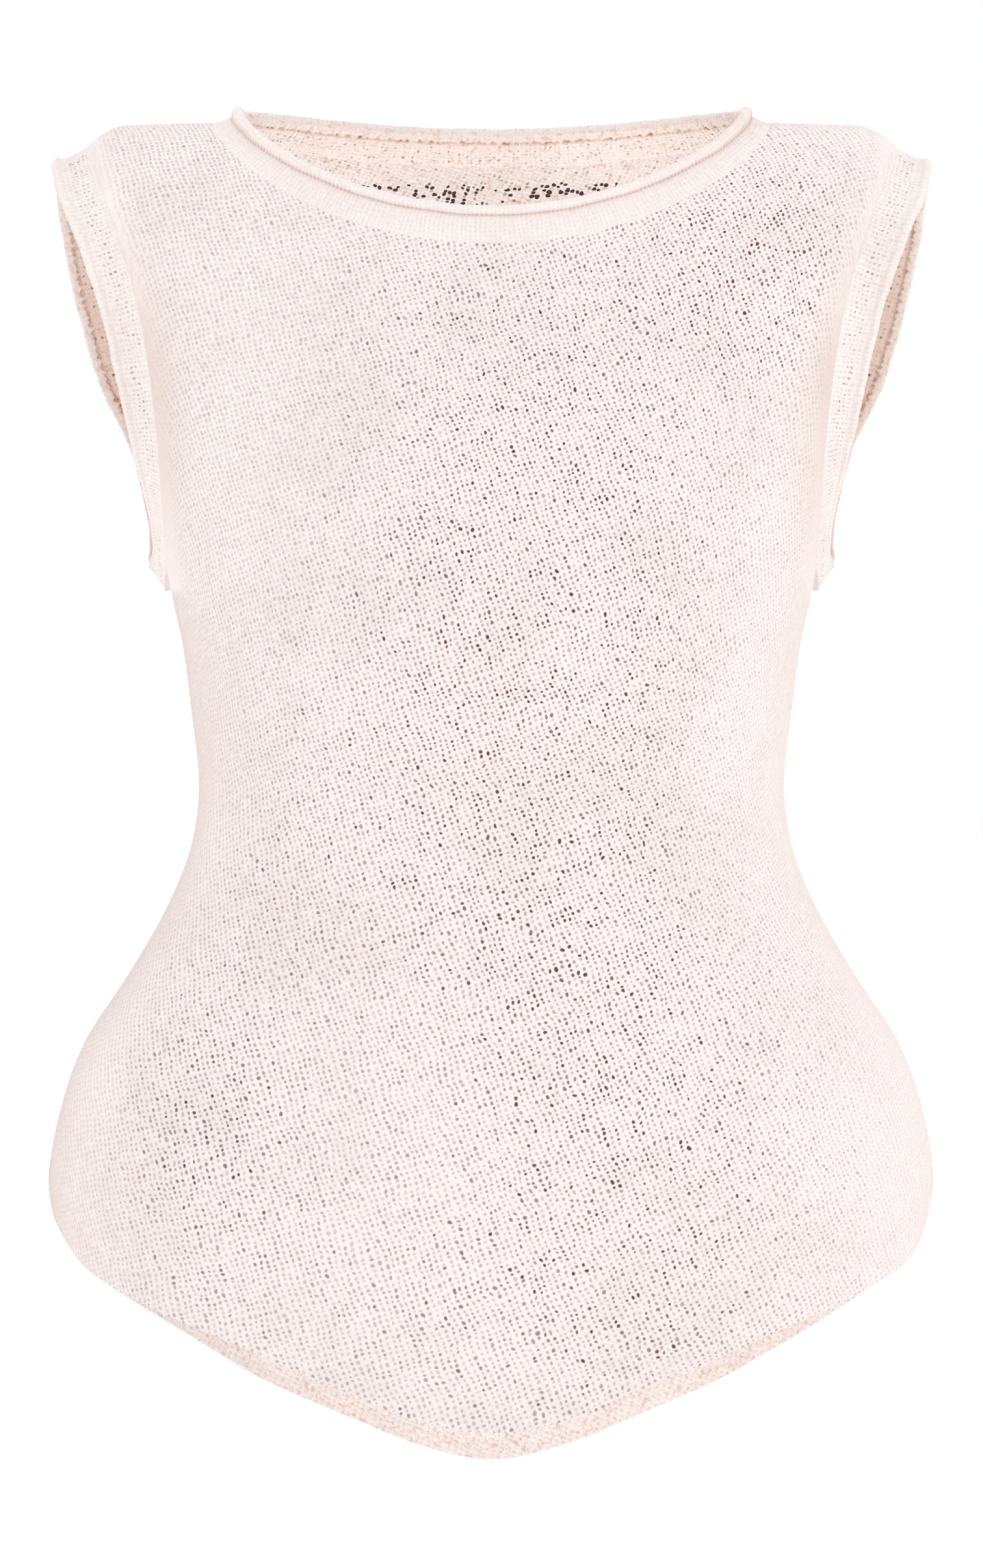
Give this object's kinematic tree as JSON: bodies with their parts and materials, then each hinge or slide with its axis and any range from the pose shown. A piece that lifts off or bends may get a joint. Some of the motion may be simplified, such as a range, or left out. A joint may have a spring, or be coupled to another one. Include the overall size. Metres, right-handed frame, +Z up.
{
  "type": "sleeveless knit top",
  "caption": "Fitted sleeveless knit top in its worn hollow form, with a wide round neck, rolled neck and armhole edges and a hem that dips at front and back.",
  "frame": {"origin": "midway between the shoulders, level with the shoulder seams where they meet the neckband", "axes": "+Z up, front of the garment towards -Y, the wearer's left towards +X"},
  "size_m": [0.3594, 0.2363, 0.5613],
  "materials": {
    "jersey_knit": "fine open single jersey, pale pink cream, matt",
    "band_knit": "denser rolled jersey band, warm cream, matt"
  },
  "bodies": {
    "root": {"front_panel": "jersey_knit", "back_panel": "jersey_knit", "neckband": "band_knit", "armhole_band_left": "band_knit", "armhole_band_right": "band_knit"}
  },
  "joints": []
}
